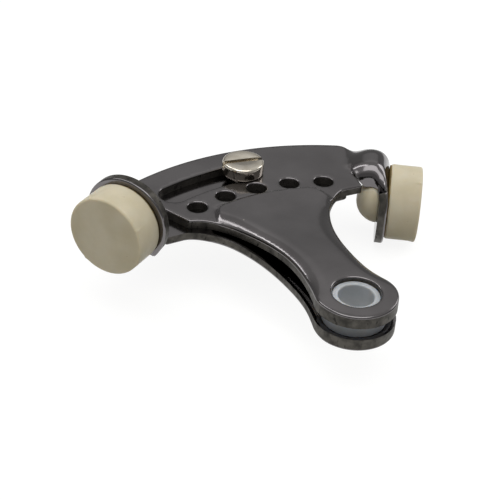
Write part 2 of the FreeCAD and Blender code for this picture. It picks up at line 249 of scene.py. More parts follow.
def new_piece(
    name: str, points: np.ndarray, faces: Iterable[Sequence[int]], smooth: bool = True
) -> bpy.types.Object:
    """Makes a mesh object from points in mm.

    Args:
        name: The piece's name.
        points: Vertices, one row each, in mm.
        faces: Vertex indices of each face.
        smooth: Whether the faces are shaded smooth.

    Returns:
        The new object, in the scene.
    """
    mesh = bpy.data.meshes.new(name)
    mesh.from_pydata((np.asarray(points) * MM).tolist(), [], [tuple(f) for f in faces])
    mesh.validate()
    mesh.polygons.foreach_set("use_smooth", [smooth] * len(mesh.polygons))
    mesh.update()
    piece = bpy.data.objects.new(name, mesh)
    bpy.context.scene.collection.objects.link(piece)
    return piece


def arc_points(centre: Sequence[float], radius: float, start: float, end: float, step: float) -> np.ndarray:
    """Points along an arc, the last one left out.

    Args:
        centre: Centre of the arc.
        radius: Its radius.
        start: Start angle in radians.
        end: End angle.
        step: Spacing of the points.

    Returns:
        One point a row.
    """
    count = max(2, int(math.ceil(abs(end - start) * radius / step)))
    angles = np.linspace(start, end, count, endpoint=False)
    return np.column_stack([centre[0] + radius * np.cos(angles), centre[1] + radius * np.sin(angles)])


def line_points(start: np.ndarray, end: np.ndarray, step: float) -> np.ndarray:
    """Points along a line, about a step apart, the last one left out."""
    count = max(1, int(math.ceil(np.linalg.norm(end - start) / step)))
    return start + (end - start) * np.linspace(0, 1, count, endpoint=False)[:, None]


def bezier_points(pulls: Sequence[np.ndarray], count: int) -> np.ndarray:
    """Points along a cubic curve, the last one left out.

    Args:
        pulls: Start, two handles and end.
        count: How many points.

    Returns:
        One point a row.
    """
    share = np.linspace(0, 1, count, endpoint=False)[:, None]
    weights = ((1 - share) ** 3, 3 * share * (1 - share) ** 2, 3 * share ** 2 * (1 - share), share ** 3)
    return sum(weight * pull for weight, pull in zip(weights, pulls))


def smoothstep(value: np.ndarray) -> np.ndarray:
    """Rises smoothly from 0 at 0 to 1 at 1."""
    value = np.clip(value, 0.0, 1.0)
    return value * value * (3 - 2 * value)


def loop_distance(points: np.ndarray, loop: np.ndarray) -> np.ndarray:
    """Distance of each point from a closed loop of short segments.

    Args:
        points: Points to measure.
        loop: Corners of the loop.

    Returns:
        One distance a point.
    """
    start, end = loop, np.roll(loop, -1, axis=0)
    span = end - start
    length = np.maximum((span ** 2).sum(1), 1e-12)
    out = np.empty(len(points))
    for low in range(0, len(points), BATCH):
        part = points[low:low + BATCH, None, :] - start[None]
        share = np.clip((part * span).sum(2) / length, 0, 1)
        out[low:low + BATCH] = np.sqrt(((part - share[..., None] * span) ** 2).sum(2).min(1))
    return out


def inside_loop(points: np.ndarray, loop: np.ndarray) -> np.ndarray:
    """Whether each point lies inside a closed loop.

    Args:
        points: Points to test.
        loop: Corners of the loop.

    Returns:
        One truth value a point.
    """
    x, y = points.T[:, :, None]
    x0, y0 = loop.T
    x1, y1 = np.roll(x0, -1), np.roll(y0, -1)
    with np.errstate(divide="ignore", invalid="ignore"):
        crosses = ((y0 > y) != (y1 > y)) & (x < (x1 - x0) * (y - y0) / (y1 - y0) + x0)
    return crosses.sum(1) % 2 == 1


def blend_corner(
    before: np.ndarray, corner: np.ndarray, after: np.ndarray, radius: float, step: float
) -> np.ndarray:
    """Points of a rounded corner between two straight runs.

    Args:
        before: A point on the run that comes in.
        corner: The sharp corner.
        after: A point on the run that goes out.
        radius: Rounding radius.
        step: Spacing of the points.

    Returns:
        One point a row, first and last on the runs.
    """
    back = (before - corner) / np.linalg.norm(before - corner)
    on = (after - corner) / np.linalg.norm(after - corner)
    half = math.acos(float(np.clip(back @ on, -1, 1))) / 2
    reach = radius / math.tan(half)
    count = max(3, int(math.ceil(radius * (math.pi - 2 * half) / step)) + 1)
    share = np.linspace(0, 1, count)[:, None]
    start, end = corner + back * reach, corner + on * reach
    return (1 - share) ** 2 * start + 2 * share * (1 - share) * corner + share ** 2 * end


@dataclass
class PlateForm:
    """Sizes of the stamped plate, in mm and degrees, and its blank before it is pressed."""

    thickness: float = 2.2
    set_angle: float = 3.5
    # Sector with its index holes and slot.
    sector_radius: float = 68.8
    sector_half_angle: float = 27.0
    sector_inner: float = 42.0
    corner_round: float = 1.4
    corner_lead: float = 2.0
    flange_corner: float = 25.6
    index_circle: float = 50.2
    index_hole: float = 4.8
    index_pitch: float = 10.0
    index_side: int = 2
    slot_circle: float = 58.2
    slot_width: float = 7.4
    slot_travel: float = 20.0
    slot_spare: float = 0.25
    slot_end: float = -0.4
    # Arm: lift, dished crown, rolled shoulder and the ear at its end.
    arm_lift: float = 2.5
    dish: float = 1.0
    dish_wall: float = 0.9
    ramp_start: float = 38.0
    ramp_length: float = 24.0
    shoulder_width: float = 4.0
    shoulder_drop: float = 1.2
    ear_radius: float = 9.3
    ear_flat: float = 0.85
    ear_fade: float = 13.0
    ear_hole: float = 5.46
    ear_hole_round: float = 0.5
    # Waist of the arm and its flare into the sector.
    waist_half: float = 7.2
    waist_radius: float = 42.0
    flare_angle: float = 35.0
    flare_round: float = 4.2
    flare_trim: int = 10
    flare_flat: float = 2.0
    flare_pull: float = 4.2
    flare_end_pull: float = 3.2
    # Pressed foot of the arm, with a lanced crease beside its left half.
    foot_circle: float = 47.0
    foot_half_angle: float = 17.0
    foot_slope: float = 0.9
    foot_lean: float = 2.2
    foot_run: float = 6.6
    foot_soft: float = 1.6
    foot_inset: float = 1.0
    crease: float = 0.35
    crease_width: float = 0.4
    crease_rise: float = 3.0
    crease_end: float = 15.0
    crease_fade: float = 2.0
    crease_start: float = 40.0
    # Flange disc that holds the bumper. The skirt leaves it at an angle in radians.
    flange_angle: float = 31.5
    flange_stand: float = 6.6
    disc_radius: float = 10.7
    disc_reach: float = 56.1
    disc_drop: float = 5.9
    disc_leave: float = 0.47
    stem_hole: float = 4.06
    stem_round: float = 0.2
    # Neck that carries the disc: its path, its root in the sector and the far shoulder.
    neck_near: float = 55.8
    neck_rise: float = 2.65
    neck_start: float = 6.0
    neck_slope: float = 7.9
    neck_bend: float = 3.6
    neck_fall: float = 4.6
    neck_far: float = 64.4
    neck_far_stand: float = 2.5
    neck_root: float = 2.5
    neck_merge: float = 3.0
    neck_side: float = 15.0
    shoulder_angle: float = 25.0
    shoulder_pull: float = 3.0
    shoulder_end_pull: float = 3.6
    tip_round: float = 0.8
    root_round: float = 0.3
    tear_reach: float = 5.0
    tear_slope: float = 0.77
    tear_merge: float = 1.2
    # Knuckle drawn across the neck, and the skirt below it. Its greatest turn is in radians.
    knuckle_near: float = 57.6
    knuckle_near_radius: float = 2.7
    knuckle_far: float = 61.0
    knuckle_far_radius: float = 9.0
    knuckle_rise: float = 5.6
    knuckle_start: float = 8.5
    knuckle_end: float = 13.0
    knuckle_least: float = 0.02
    knuckle_turn: float = 1.5
    skirt_reach: float = 51.2
    skirt_stand: float = 1.1
    skirt_round: float = 1.0
    # Rim rounding, and the spacing and counts of the mesh's points.
    edge_round: float = 0.45
    edge_step: float = 0.5
    edge_clear: float = 0.55
    hole_step: float = 0.4
    index_step: float = 0.28
    fine_step: float = 0.5
    fine_margin: float = 1.0
    coarse_step: float = 1.1
    disc_margin: float = 3.0
    path_count: int = 200
    flare_count: int = 24
    disc_count: int = 160
    shoulder_count: int = 40
    # Directions of the flange's radius and face, and the neck's bent path by length from its start.
    along: np.ndarray = field(init=False)
    normal: np.ndarray = field(init=False)
    path: np.ndarray = field(init=False)
    slope: np.ndarray = field(init=False)
    run: np.ndarray = field(init=False)

    def __post_init__(self) -> None:
        """Sets the flange's directions and lays out the bent path of the neck's mid surface."""
        self.along = self.polar(1.0, self.flange_angle)
        self.normal = np.array([self.along[1], -self.along[0]])
        half = self.thickness / 2
        wall = self.flange_stand - half
        roof = half + self.neck_rise
        rise = np.linspace(0, 1, self.path_count, endpoint=False)
        turn = np.linspace(0, math.pi / 2, self.path_count)
        n = np.concatenate([
            self.neck_slope * rise - self.neck_start, wall - self.neck_bend * (1 - np.sin(turn)), [wall],
        ])
        z = np.concatenate([
            half + self.neck_rise * smoothstep(rise), roof - self.neck_fall * (1 - np.cos(turn)),
            [-self.disc_drop - 2 * self.disc_radius],
        ])
        step = np.hypot(np.diff(n), np.diff(z))
        self.run = np.concatenate([[0], np.cumsum(step)])
        self.path = np.column_stack([n, z])
        tangent = np.gradient(self.path, self.run, axis=0)
        self.slope = tangent / np.linalg.norm(tangent, axis=1)[:, None]

    @property
    def disc_run(self) -> float:
        """Length along the bent path to the disc's centre."""
        return float(self.run[-2] + self.path[-2, 1] + self.disc_drop)

    def flat(self, along: float, stand: float) -> np.ndarray:
        """A point of the blank from its place along the flange's radius and its stand off it."""
        return self.along * along + self.normal * stand

    def polar(self, radius: float, angle: float) -> np.ndarray:
        """A point at an angle in degrees from +Y towards +X."""
        turn = math.radians(angle)
        return np.array([radius * math.sin(turn), radius * math.cos(turn)])

    def outline(self) -> np.ndarray:
        """The blank's outer edge, anticlockwise: ear, right waist, flange, sector and left waist.

        Returns:
            One point a row.
        """
        step = self.edge_step
        waist = np.array([self.waist_half + self.waist_radius, 0.0])
        reach = self.waist_radius + self.ear_radius
        waist[1] = math.sqrt(reach ** 2 - waist[0] ** 2)
        join = math.atan2(waist[1], waist[0])
        flare_turn = math.radians(self.flare_angle)
        ear = arc_points((0, 0), self.ear_radius, math.pi - join, 2 * math.pi + join, step)
        right = arc_points(waist, self.waist_radius, math.pi + join, math.pi - flare_turn, step)
        flare = waist + self.waist_radius * np.array([-math.cos(flare_turn), math.sin(flare_turn)])
        level = np.array([flare[0] + self.flare_round, self.sector_inner])
        tip = np.array([self.flange_corner, self.sector_inner])
        near_root = self.flat(self.neck_near, self.neck_root - self.neck_start)
        skirt = self.flat(self.skirt_reach, self.skirt_stand)
        disc = self.flat(self.disc_reach, self.disc_run - self.neck_start)
        leave = math.asin(min(1.0, (self.neck_far - self.disc_reach) / self.disc_radius))
        free = self.polar(self.sector_radius, -self.sector_half_angle)
        inner_x = self.sector_inner * math.tan(math.radians(self.sector_half_angle))
        inner = np.array([-inner_x, self.sector_inner])
        mirror = np.array([-1, 1])

        right = right[:-self.flare_trim]
        sweep_in = right[-1] - right[-2]
        sweep_in = sweep_in / np.linalg.norm(sweep_in)
        flat_end = np.array([level[0] + self.flare_flat, self.sector_inner])
        flare_pulls = (
            right[-1], right[-1] + sweep_in * self.flare_pull,
            flat_end - np.array([self.flare_end_pull, 0]), flat_end,
        )
        fillet = bezier_points(flare_pulls, self.flare_count)
        around = np.linspace(self.disc_leave, 2 * math.pi - leave, self.disc_count)
        disc_ring = disc + self.disc_radius * (
            -np.sin(around)[:, None] * self.along - np.cos(around)[:, None] * self.normal)
        tip_round = blend_corner(level, tip, near_root, self.tip_round, step)
        root_round = blend_corner(tip, near_root, skirt, self.root_round, step)
        skirt_round = blend_corner(near_root, skirt, disc_ring[0], self.skirt_round, step)
        outer = self.polar(self.sector_radius, self.shoulder_angle)
        leaving = math.radians(self.shoulder_angle)
        sweep = np.array([math.cos(leaving), -math.sin(leaving)])
        far_neck = self.flat(self.neck_far, self.neck_far_stand)
        shoulder_pulls = (
            far_neck, far_neck - self.normal * self.shoulder_end_pull,
            outer + sweep * self.shoulder_pull, outer,
        )
        shoulder = bezier_points(shoulder_pulls, self.shoulder_count)
        before_free = self.polar(self.sector_radius, self.corner_lead - self.sector_half_angle)
        free_round = blend_corner(before_free, free, inner, self.corner_round, step)
        inner_round = blend_corner(free, inner, mirror * level, self.corner_round, step)
        arc_start = math.pi / 2 - leaving
        arc_end = math.pi / 2 - math.atan2(free_round[0][0], free_round[0][1])
        runs = [ear, right[:-1], fillet]
        last = flat_end
        for curve in (tip_round, root_round, skirt_round, disc_ring):
            runs += [line_points(last, curve[0], step), curve[:-1]]
            last = curve[-1]
        runs += [line_points(last, far_neck, step), shoulder]
        runs += [arc_points((0, 0), self.sector_radius, arc_start, arc_end, step), free_round[:-1]]
        runs += [line_points(free_round[-1], inner_round[0], step), inner_round[:-1]]
        runs += [line_points(inner_round[-1], mirror * flat_end, step), [mirror * flat_end]]
        runs += [(mirror * fillet)[::-1], (mirror * right[:-1])[::-1]]
        return np.vstack(runs)

    def holes(self) -> list[tuple[np.ndarray, float]]:
        """Every hole of the blank with the rounding of its rim.

        Returns:
            Clockwise loops and their rim roundings.
        """
        step = self.hole_step
        full = (0.0, 2 * math.pi)
        loops = [(arc_points((0, 0), self.ear_hole, *full, step), self.ear_hole_round)]
        for number in range(-self.index_side, self.index_side + 1):
            centre = self.polar(self.index_circle, number * self.index_pitch)
            loops.append((arc_points(centre, self.index_hole / 2, *full, self.index_step), self.edge_round))
        spare = math.degrees(self.slot_spare / self.slot_circle)
        half = self.slot_width / 2
        near, far = math.degrees(self.slot_end / self.slot_circle), -self.slot_travel - spare
        near_turn, far_turn = math.radians(90 - near), math.radians(90 - far)
        near_end, far_end = self.polar(self.slot_circle, near), self.polar(self.slot_circle, far)
        slot = np.vstack([
            arc_points((0, 0), self.slot_circle + half, near_turn, far_turn, step),
            arc_points(far_end, half, far_turn, far_turn + math.pi, step),
            arc_points((0, 0), self.slot_circle - half, far_turn, near_turn, step),
            arc_points(near_end, half, near_turn + math.pi, near_turn + 2 * math.pi, step),
        ])
        loops.append((slot, self.edge_round))
        disc = self.flat(self.disc_reach, self.disc_run - self.neck_start)
        loops.append((arc_points(disc, self.stem_hole, *full, step), self.stem_round))
        return [(loop[::-1], rim) for loop, rim in loops]

    def emboss(self, points: np.ndarray) -> np.ndarray:
        """How far each point of the blank lies inside the foot of the pressed-up arm.

        Args:
            points: Points of the blank.

        Returns:
            One signed distance a point.
        """
        radius = np.hypot(points[:, 0], points[:, 1])
        ahead = self.foot_circle - radius
        foot = self.polar(self.foot_circle, self.foot_half_angle)
        lean = np.array([self.foot_lean, -self.foot_run])
        lean = lean / np.linalg.norm(lean)
        across = np.abs(points[:, 0])
        beside = (foot[0] - across) * -lean[1] + (foot[1] - points[:, 1]) * lean[0]
        soft = self.foot_soft
        mix = np.clip(0.5 + 0.5 * (beside - ahead) / soft, 0, 1)
        return beside * (1 - mix) + ahead * mix - soft * mix * (1 - mix)

    def formed(self, points: np.ndarray, heights: np.ndarray) -> np.ndarray:
        """Bends blank points onto the neck and flange.

        Args:
            points: Points of the blank.
            heights: Height of each above the blank's underside.

        Returns:
            Points in the part's frame.
        """
        along, stand = points @ self.along, points @ self.normal
        run = stand + self.neck_start
        below = np.clip(self.neck_near - along, 0, self.tear_reach)
        tear = self.neck_root - self.neck_start + below * self.tear_slope
        bent = (run > 0) & (points[:, 0] > self.neck_side) & ((along >= self.neck_near) | (stand > tear))
        n = np.interp(run, self.run, self.path[:, 0])
        z = np.interp(run, self.run, self.path[:, 1])
        tn = np.interp(run, self.run, self.slope[:, 0])
        tz = np.interp(run, self.run, self.slope[:, 1])
        off = heights - self.thickness / 2
        drawn = smoothstep(run / self.knuckle_rise) * smoothstep(
            (self.knuckle_end - run) / (self.knuckle_end - self.knuckle_start))
        drawn = np.maximum(drawn, self.knuckle_least)
        near = along < (self.knuckle_near + self.knuckle_far) / 2
        crest = np.where(near, self.knuckle_near, self.knuckle_far)
        radius = np.where(near, self.knuckle_near_radius, self.knuckle_far_radius) / drawn
        away = np.where(near, -1.0, 1.0)
        width = np.maximum((along - crest) * away, 0)
        turn = np.minimum(width / radius, self.knuckle_turn)
        rest = width - turn * radius
        reach = (radius + off) * np.sin(turn) + rest * np.cos(turn)
        sink = radius * (np.cos(turn) - 1) - rest * np.sin(turn)
        across = np.where((along - crest) * away > 0, crest + away * reach, along)
        n, z = n - tz * off * np.cos(turn), z + tn * off * np.cos(turn) + sink
        flat = np.column_stack([points, heights])
        bent_xy = across[:, None] * self.along + n[:, None] * self.normal
        joined = smoothstep((along - self.neck_near) / self.neck_merge)
        torn = smoothstep((stand - tear) / self.tear_merge)
        weight = (np.maximum(joined, torn) * bent)[:, None]
        return np.column_stack([bent_xy, z]) * weight + flat * (1 - weight)


@dataclass
class StampedPlate:
    """One stamped plate: slotted sector, pressed-up arm with its ear, and the necked bumper flange."""

    form: PlateForm
    polished: bpy.types.Material
    sheared: bpy.types.Material
    edges: list[np.ndarray] = field(init=False)
    rims: list[float] = field(init=False)

    def __post_init__(self) -> None:
        """Draws the blank's outline, then each hole, with the rounding of their rims."""
        holes = self.form.holes()
        self.edges = [self.form.outline()] + [loop for loop, _ in holes]
        self.rims = [self.form.edge_round] + [rim for _, rim in holes]

    def _blank(self) -> tuple[np.ndarray, list[list[int]], np.ndarray]:
        """Fills the blank with triangles.

        Returns:
            Points, the vertex numbers round each edge and the triangles.
        """
        points, spans, links = list(self.edges), [], []
        count = 0
        for loop in self.edges:
            span = range(count, count + len(loop))
            spans.append(span)
            links += zip(span, [*span[1:], span[0]])
            count = span.stop
        for loop, rim in zip(self.edges, self.rims):
            way = np.roll(loop, -1, axis=0) - np.roll(loop, 1, axis=0)
            way /= np.linalg.norm(way, axis=1)[:, None]
            inward = np.column_stack([-way[:, 1], way[:, 0]])
            for share in RIM_SHARES:
                points.append(loop + inward * rim * share)
        points.append(self._filling())
        cloud = np.vstack(points)
        keep = np.ones(len(cloud), bool)
        keep[count:] = self._within(cloud[count:])
        cloud = cloud[keep]
        verts, _, faces, sources, _, _ = delaunay_2d_cdt(
            [Vector(p) for p in cloud], links, [], 0, WELD, True)
        flat = np.array([tuple(v) for v in verts])
        place = {old: new for new, olds in enumerate(sources) for old in olds}
        rings = [list(dict.fromkeys(place[i] for i in span)) for span in spans]
        triangles = np.array([f for f in faces if len(f) == 3])
        middle = flat[triangles].mean(1)
        return flat, rings, triangles[self._within(middle)]

    def _within(self, points: np.ndarray) -> np.ndarray:
        """Whether points of the blank lie inside its outline and outside its holes."""
        in_hole = np.any([inside_loop(points, loop) for loop in self.edges[1:]], axis=0)
        return inside_loop(points, self.edges[0]) & ~in_hole

    def _filling(self) -> np.ndarray:
        """Points inside the sheet, closer together where it is curved.

        Returns:
            One point a row.
        """
        form = self.form
        low, high = self.edges[0].min(0), self.edges[0].max(0)
        groups = []
        for step, fine in ((form.fine_step, True), (form.coarse_step, False)):
            xs = np.arange(low[0], high[0], step)
            ys = np.arange(low[1], high[1], step * ROW_SHARE)
            grid = np.array([(x + (row % 2) * step / 2, y) for row, y in enumerate(ys) for x in xs])
            stand = grid @ form.normal
            curved = (form.emboss(grid) > -form.fine_margin) | (stand + form.neck_start > -form.fine_margin)
            curved &= ~(stand > form.disc_run - form.neck_start - form.disc_radius + form.disc_margin)
            grid = grid[curved if fine else ~curved]
            grid = grid[self._within(grid)]
            clear = np.min([loop_distance(grid, loop) for loop in self.edges], axis=0)
            groups.append(grid[clear > form.edge_clear])
        return np.vstack(groups)

    def _heights(self, points: np.ndarray) -> tuple[np.ndarray, np.ndarray]:
        """Upper and lower height of the sheet at each point of the blank.

        Args:
            points: Points of the blank.

        Returns:
            Heights of the upper and of the lower skin.
        """
        form = self.form
        gaps = [loop_distance(points, loop) for loop in self.edges]
        edge = gaps[0]
        inside = form.emboss(points)
        raised = smoothstep(inside / form.foot_slope)
        under = smoothstep((inside - form.foot_inset) / form.foot_slope) * smoothstep(edge - form.dish_wall)
        fall = np.clip(form.shoulder_width - edge, 0, None)
        curve = (form.shoulder_width ** 2 + form.shoulder_drop ** 2) / (2 * form.shoulder_drop)
        rolled = raised * (1 - form.ear_flat * smoothstep((form.ear_radius - points[:, 1]) / form.ear_fade))
        roll = (curve - np.sqrt(curve ** 2 - fall ** 2)) * rolled
        ramp_share = smoothstep((form.ramp_start - points[:, 1]) / form.ramp_length)
        ramped = (form.arm_lift - form.dish) * ramp_share * (np.abs(points[:, 0]) < form.ramp_length)
        top = form.thickness + ramped + form.dish * raised - roll
        lanced = smoothstep(-points[:, 0] / form.crease_rise)
        lanced *= smoothstep((points[:, 0] + form.crease_end) / form.crease_fade)
        lanced *= points[:, 1] > form.crease_start
        top -= form.crease * np.exp(-(inside / form.crease_width) ** 2) * lanced
        low = ramped + form.dish * under
        for gap, rim in zip(gaps, self.rims):
            depth = np.clip(1 - gap / rim, 0, 1)
            top -= rim * (1 - np.sqrt(np.maximum(1 - depth ** 2, 0)))
        return top, low

    def build(self, name: str, turned: bool) -> bpy.types.Object:
        """Makes the plate.

        Args:
            name: The piece's name.
            turned: Whether the stamping is turned over about Y.

        Returns:
            The plate, its sheared edges in a material of their own.
        """
        flat, rings, triangles = self._blank()
        count = len(flat)
        points = np.vstack([self.form.formed(flat, skin) for skin in self._heights(flat)])
        if turned:
            points = points * np.array([-1, 1, -1])
            swing = math.radians(self.form.set_angle)
            turn = np.array([[math.cos(swing), math.sin(swing)], [-math.sin(swing), math.cos(swing)]])
            points = np.column_stack([points[:, :2] @ turn, points[:, 2]])
        sides = [pair for ring in rings for pair in zip(ring, ring[1:] + ring[:1])]
        faces = [tuple(t) for t in triangles]
        faces += [tuple(t[::-1] + count) for t in triangles]
        plain = len(faces)
        faces += [(a, a + count, b + count, b) for a, b in sides]
        plate = new_piece(name, points, faces)
        plate.data.materials.append(self.polished)
        plate.data.materials.append(self.sheared)
        slots = np.zeros(len(plate.data.polygons), np.int32)
        slots[plain:] = 1
        plate.data.polygons.foreach_set("material_index", slots)
        rim = {frozenset(pair) for pair in sides}
        sharp = [frozenset(v % count for v in edge.vertices) in rim for edge in plate.data.edges]
        attribute = plate.data.attributes.new("sharp_edge", "BOOLEAN", "EDGE")
        attribute.data.foreach_set("value", sharp)
        return plate


def lathe(name: str, profile: Sequence[tuple[float, float]], steps: int = 96) -> bpy.types.Object:
    """Turns a profile about Z.

    Args:
        name: The piece's name.
        profile: Radius and height of each point, from one end to the other; radius 0 closes an end.
        steps: Divisions of the circle.

    Returns:
        The turned piece.
    """
    turns = np.linspace(0, 2 * math.pi, steps, endpoint=False)
    points, rings = [], []
    for radius, height in profile:
        if radius < WELD:
            rings.append([len(points)] * steps)
            points.append((0, 0, height))
            continue
        rings.append(list(range(len(points), len(points) + steps)))
        points += [(radius * math.cos(a), radius * math.sin(a), height) for a in turns]
    faces = []
    for first, second in zip(rings, rings[1:]):
        for i in range(steps):
            j = (i + 1) % steps
            face = list(dict.fromkeys((first[i], first[j], second[j], second[i])))
            if len(face) > 2:
                faces.append(face)
    return new_piece(name, np.array(points), faces)


def rounded(corners: Sequence[tuple[float, float, float]], parts: int = 6) -> list[tuple[float, float]]:
    """Rounds the corners of a profile.

    Args:
        corners: Radius, height and rounding of each corner.
        parts: Divisions of each rounding.

    Returns:
        The profile's points.
    """
    out = []
    for number, (x, y, size) in enumerate(corners):
        here = np.array([x, y])
        if size <= 0 or number in (0, len(corners) - 1):
            out.append((x, y))
            continue
        before = np.array(corners[number - 1][:2]) - here
        after = np.array(corners[number + 1][:2]) - here
        start = here + before / np.linalg.norm(before) * size
        end = here + after / np.linalg.norm(after) * size
        for share in np.linspace(0, 1, parts + 1):
            spot = (1 - share) ** 2 * start + 2 * share * (1 - share) * here + share ** 2 * end
            out.append((float(spot[0]), float(spot[1])))
    return out


@dataclass
class RubberBumper:
    """A one-piece bumper: head, stem through the flange disc and domed bulb behind it."""

    form: PlateForm
    material: bpy.types.Material
    # Darker amber material for the rim at the disc: painted shade and painted reflection where the rubber
    # meets it.
    rim_shade: bpy.types.Material
    radius: float = 9.6
    length: float = 8.2
    edge: float = 0.6
    rim: float = 0.3
    rim_round: float = 0.15
    rim_slack: float = 0.01
    stem: float = 4.0
    stem_round: float = 0.1
    bulb: float = 5.7
    bulb_rim: float = 0.8
    bulb_round: float = 0.3
    bulb_length: float = 5.6
    dome_count: int = 14
    face_rings: tuple[float, ...] = (0.75, 0.4)
    side_rings: tuple[float, ...] = (1.8, 1.2)
    steps: int = 240
    # Places of the flash round the front rim and their half width, in degrees.
    flash: tuple[float, ...] = (-35.0, 62.0, 118.0, 205.0)
    flash_width: float = 1.6
    flash_height: float = 0.2
    flash_length: float = 1.6
    flash_fade: float = 0.8
    flash_share: float = 0.9

    def build(self, name: str, side: Side) -> bpy.types.Object:
        """Makes the bumper in its flange disc.

        Args:
            name: The piece's name.
            side: Which plate's disc holds it.

        Returns:
            The bumper.
        """
        back = -self.form.thickness
        tip = back - self.bulb_length
        dome = self.bulb_length - self.bulb_rim
        ball = (dome ** 2 + self.bulb ** 2) / (2 * dome)
        start = math.asin(self.bulb / ball)
        turns = np.linspace(0, start, self.dome_count)
        profile = [(ball * math.sin(a), tip + ball * (1 - math.cos(a))) for a in turns]
        profile += rounded([
            (self.bulb, back - self.bulb_rim, 0.0),
            (self.bulb, back, self.bulb_round),
            (self.stem, back, self.stem_round),
            (self.stem, 0, self.stem_round),
            (self.radius - self.rim, 0, 0.0),
            (self.radius - self.rim, self.rim, 0.0),
            (self.radius, 2 * self.rim, self.rim_round),
            *((self.radius, self.length - ring, 0.0) for ring in self.side_rings),
            (self.radius, self.length, self.edge),
            (0, self.length, 0),
        ])[1:]
        profile[-1:-1] = [(self.radius * share, self.length) for share in self.face_rings]
        bumper = lathe(name, profile, self.steps)
        places = np.array([tuple(v.co) for v in bumper.data.vertices])
        turns = np.degrees(np.arctan2(places[:, 1], places[:, 0]))
        ahead = places[:, 2] / MM - self.length + self.flash_length
        outside = np.hypot(*places[:, :2].T) > self.flash_share * self.radius * MM
        front = smoothstep(ahead / self.flash_fade) * outside
        away = [(turns - spot + 180) % 360 - 180 for spot in self.flash]
        swell = sum(np.exp(-(angle / self.flash_width) ** 2) for angle in away)
        places[:, :2] *= (1 + front * swell * self.flash_height / self.radius)[:, None]
        bumper.data.vertices.foreach_set("co", places.ravel())
        level = np.array([polygon.center.z for polygon in bumper.data.polygons]) / MM
        # The rim faces next to the disc take the darker amber material, painted shade and painted reflection
        # at the joint.
        at_rim = (level > -self.rim_slack) & (level < self.rim)
        bumper.data.materials.append(self.material)
        bumper.data.materials.append(self.rim_shade)
        bumper.data.polygons.foreach_set("material_index", at_rim.astype(np.int32))
        turn = math.radians(-self.form.flange_angle if side is Side.RIGHT else 180 + self.form.flange_angle)
        seat = self.form.flat(self.form.disc_reach, self.form.flange_stand)
        place = Vector((side.value * seat[0], seat[1], -side.value * self.form.disc_drop)) * MM
        swing = Matrix.Rotation(math.radians(self.form.set_angle if side is Side.LEFT else 0.0), 4, "Z")
        upright = Matrix.Rotation(turn, 4, "Z") @ Matrix.Rotation(math.pi / 2, 4, "Y")
        bumper.data.transform(swing @ Matrix.Translation(place) @ upright)
        return bumper


@dataclass
class NylonBush:
    """The spool between the two ears: collar, two necks and the pin's bore."""

    form: PlateForm
    material: bpy.types.Material
    bore: float = 4.025
    neck: float = 5.4
    neck_round: float = 0.1
    collar: float = 7.2
    collar_round: float = 0.3
    recess: float = 1.0
    lead: float = 0.4
    axial: float = 0.05

    def build(self, name: str) -> bpy.types.Object:
        """Makes the bush.

        Args:
            name: The piece's name.

        Returns:
            The bush.
        """
        level = self.form.arm_lift - self.axial
        end = self.form.arm_lift + self.form.thickness - self.recess
        upper = [
            (self.collar, level, self.collar_round), (self.neck, level, self.neck_round),
            (self.neck, end, self.lead), (self.bore, end, self.lead),
        ]
        lower = [(r, -h, s) for r, h, s in reversed(upper)]
        seam = [(self.collar, 0.0, 0.0)]
        profile = rounded(seam + upper + lower + seam)
        bush = lathe(name, profile[::-1])
        bush.data.materials.append(self.material)
        return bush


@dataclass
class ClampScrew:
    """The slotted clamp screw, its head on the upper plate."""

    form: PlateForm
    material: bpy.types.Material
    head: float = 5.25
    height: float = 3.4
    ease: float = 0.9
    seat_round: float = 0.7
    drive_width: float = 1.4
    drive_depth: float = 1.5
    drive_over: float = 1.0
    drive_round: float = 0.12
    drive_turn: float = -7.5
    round_above: float = 50.0
    sharp_above: float = 45.0
    shank: float = 3.175
    shank_round: float = 0.1
    shank_lead: float = 0.8
    nut_height: float = 5.5
    proud: float = 1.5
    axial: float = 0.05

    def build(self, name: str) -> bpy.types.Object:
        """Makes the screw with its driver slot cut.

        Args:
            name: The piece's name.

        Returns:
            The screw.
        """
        seat = self.form.thickness + self.axial
        crest = seat + self.height
        tip = -(seat + self.nut_height + self.proud)
        screw = lathe(name, rounded([
            (0, tip, 0), (self.shank, tip, self.shank_lead), (self.shank, seat, self.shank_round),
            (self.head, seat, self.seat_round), (self.head, crest, self.ease), (0, crest, 0),
        ]))
        reach, half = 2 * self.head, self.drive_width / 2
        levels = (crest - self.drive_depth, crest + self.drive_over)
        corners = np.array([(x, y, z) for z in levels for y in (-half, half) for x in (-reach, reach)])
        sides = [(0, 2, 3, 1), (4, 5, 7, 6), (0, 1, 5, 4), (2, 6, 7, 3), (0, 4, 6, 2), (1, 3, 7, 5)]
        cutter = new_piece("drive_cutter", corners, sides, smooth=False)
        cut = screw.modifiers.new("drive_slot", "BOOLEAN")
        cut.object, cut.operation, cut.solver = cutter, "DIFFERENCE", "EXACT"
        soften = screw.modifiers.new("slot_edges", "BEVEL")
        soften.width, soften.segments, soften.limit_method = self.drive_round * MM, 2, "ANGLE"
        soften.angle_limit = math.radians(self.round_above)
        graph = bpy.context.evaluated_depsgraph_get()
        mesh = bpy.data.meshes.new_from_object(screw.evaluated_get(graph))
        screw.modifiers.clear()
        screw.data = mesh
        bpy.data.objects.remove(cutter)
        place = Matrix.Translation((0, self.form.slot_circle * MM, 0))
        mesh.transform(place @ Matrix.Rotation(math.radians(self.drive_turn), 4, "Z"))
        mesh.set_sharp_from_angle(angle=math.radians(self.sharp_above))
        mesh.materials.clear()
        mesh.materials.append(self.material)
        return screw


